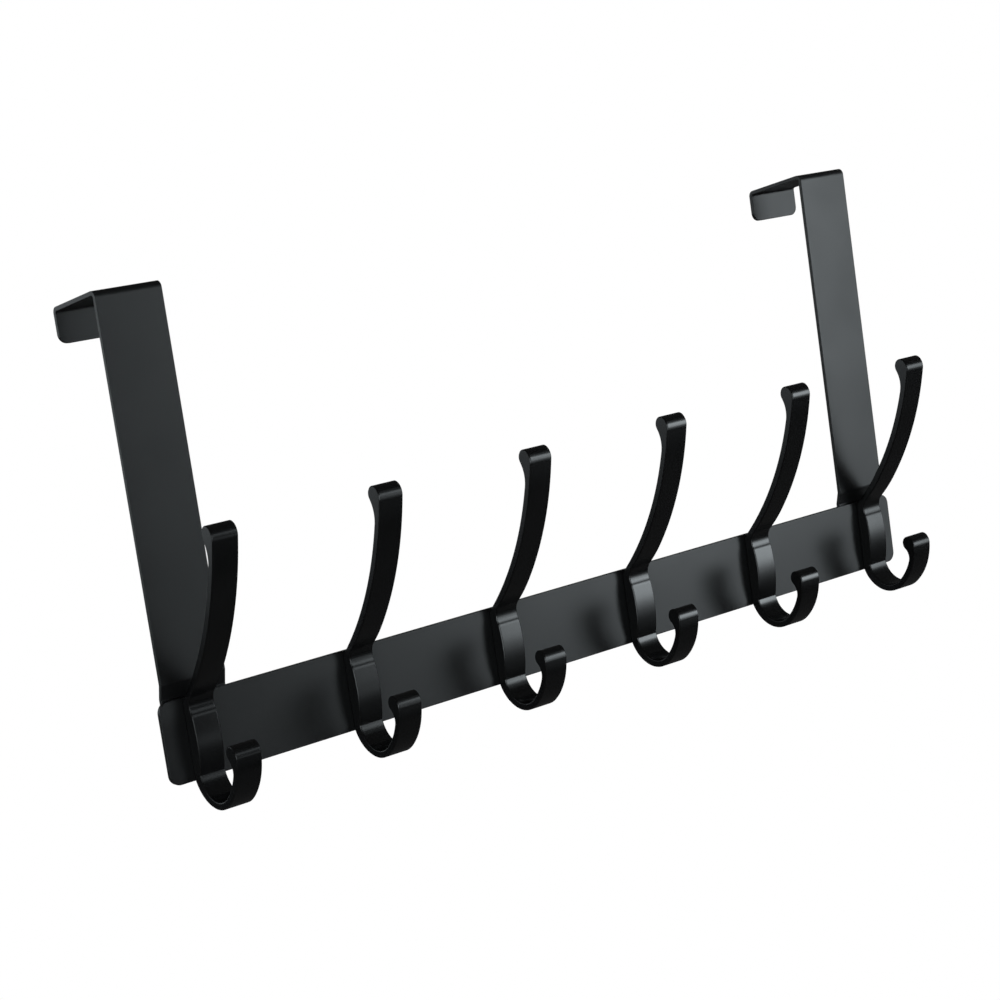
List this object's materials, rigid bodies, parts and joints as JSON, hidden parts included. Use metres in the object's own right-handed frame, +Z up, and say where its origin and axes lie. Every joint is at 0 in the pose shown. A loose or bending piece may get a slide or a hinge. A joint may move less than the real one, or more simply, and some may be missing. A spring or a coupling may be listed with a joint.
{
  "type": "over door hook rack",
  "caption": "Over-door coat hook rack: a flat rail of curved hooks, hung from the top of a door by folded strap brackets, in satin black.",
  "frame": {"origin": "top front edge of the door that the rack hangs on, midway between the straps", "axes": "+X along the rail to the viewer's right, +Y from the front of the door towards its back, +Z up"},
  "size_m": [0.47, 0.0907, 0.2318],
  "materials": {
    "rail_coat": "satin black powder coat",
    "strap_coat": "satin black powder coat",
    "hook_coat": "satin black powder coat",
    "screw_steel": "zinc plated"
  },
  "bodies": {
    "root": {"rail": "rail_coat", "left_door_strap": "strap_coat", "right_door_strap": "strap_coat", "hook_1": "hook_coat", "hook_2": "hook_coat", "hook_3": "hook_coat", "hook_4": "hook_coat", "hook_5": "hook_coat", "hook_6": "hook_coat", "hook_screws": "screw_steel", "end_hook_screws": "screw_steel"}
  },
  "joints": []
}
